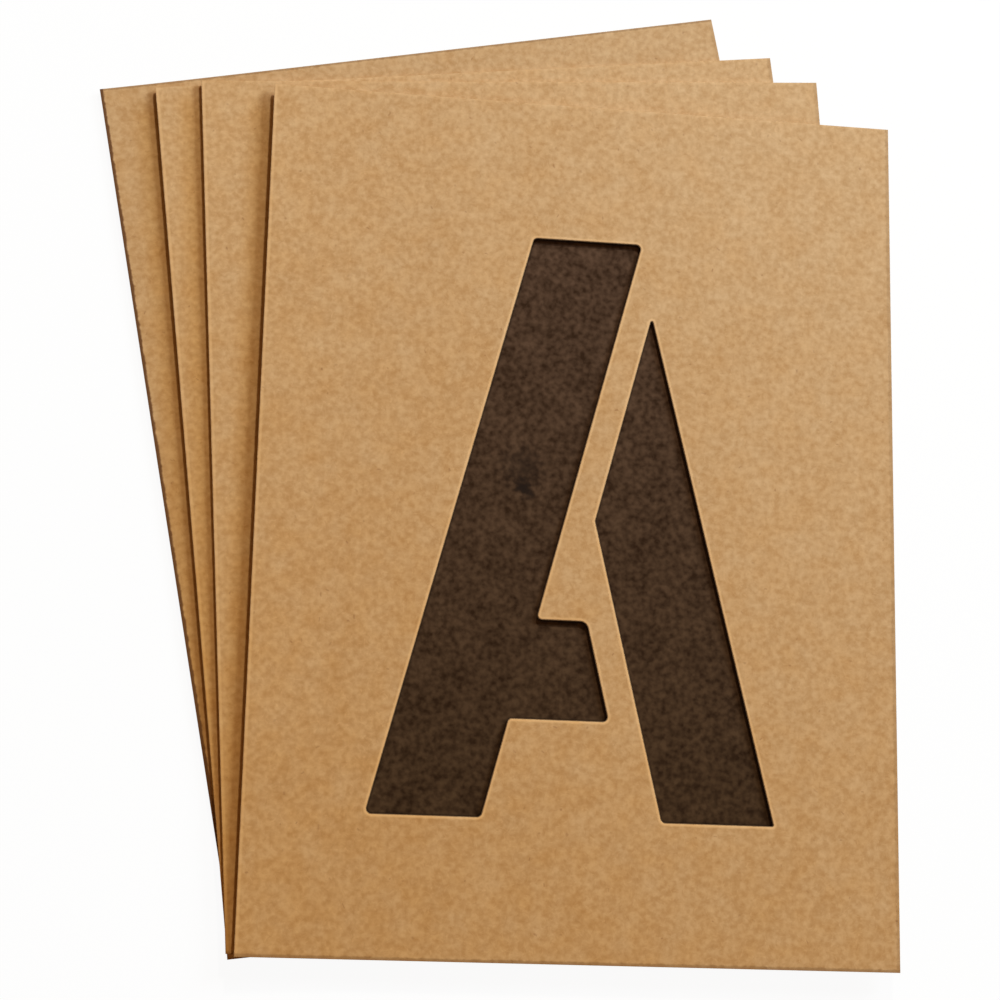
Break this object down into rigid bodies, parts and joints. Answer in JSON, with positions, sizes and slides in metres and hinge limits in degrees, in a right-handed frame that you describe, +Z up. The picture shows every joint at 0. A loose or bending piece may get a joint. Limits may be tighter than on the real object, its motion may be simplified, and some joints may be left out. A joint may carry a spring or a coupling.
{
  "type": "lettering stencil set",
  "caption": "Fanned pile of oiled kraft board lettering stencils, each with a block capital cut through it, over a dark backing sheet.",
  "frame": {"origin": "middle of the underside of the lowest card, on the surface that the pile lies on", "axes": "+Z up out of the pile; +X along the front card's width, to the letter's right; +Y along the front card's height, to the letter's top"},
  "size_m": [0.2129, 0.2563, 0.0039],
  "materials": {
    "kraft_board": "matt oiled kraft board, mottled with fine fibres",
    "dark_sheet": "matt dark brown board with a fine grain"
  },
  "bodies": {
    "card_d": {"stencil_card_d": "kraft_board"},
    "card_c": {"stencil_card_c": "kraft_board"},
    "card_b": {"stencil_card_b": "kraft_board"},
    "backing": {"dark_backing_sheet": "dark_sheet"},
    "card_a": {"stencil_card_a": "kraft_board"}
  },
  "joints": [
    {"name": "fan_c", "type": "hinge", "parent": "card_d", "child": "card_c", "pos_m": [-0.07848, -0.10808, 0.0008], "axis": [0, 0, 1], "range_deg": [-6, 4.07]},
    {"name": "fan_b", "type": "hinge", "parent": "card_c", "child": "card_b", "pos_m": [-0.03671, -0.1189, 0.0016], "axis": [0, 0, 1], "range_deg": [-12, 3.15]},
    {"name": "fan_a", "type": "hinge", "parent": "card_b", "child": "backing", "pos_m": [-0.06832, -0.15411, 0.0024], "axis": [0, 0, 1], "range_deg": [-12, 4.37]},
    {"name": "draw_a", "type": "slide", "parent": "backing", "child": "card_a", "axis": [1, 0, 0], "range_m": [0, 0.08]}
  ]
}
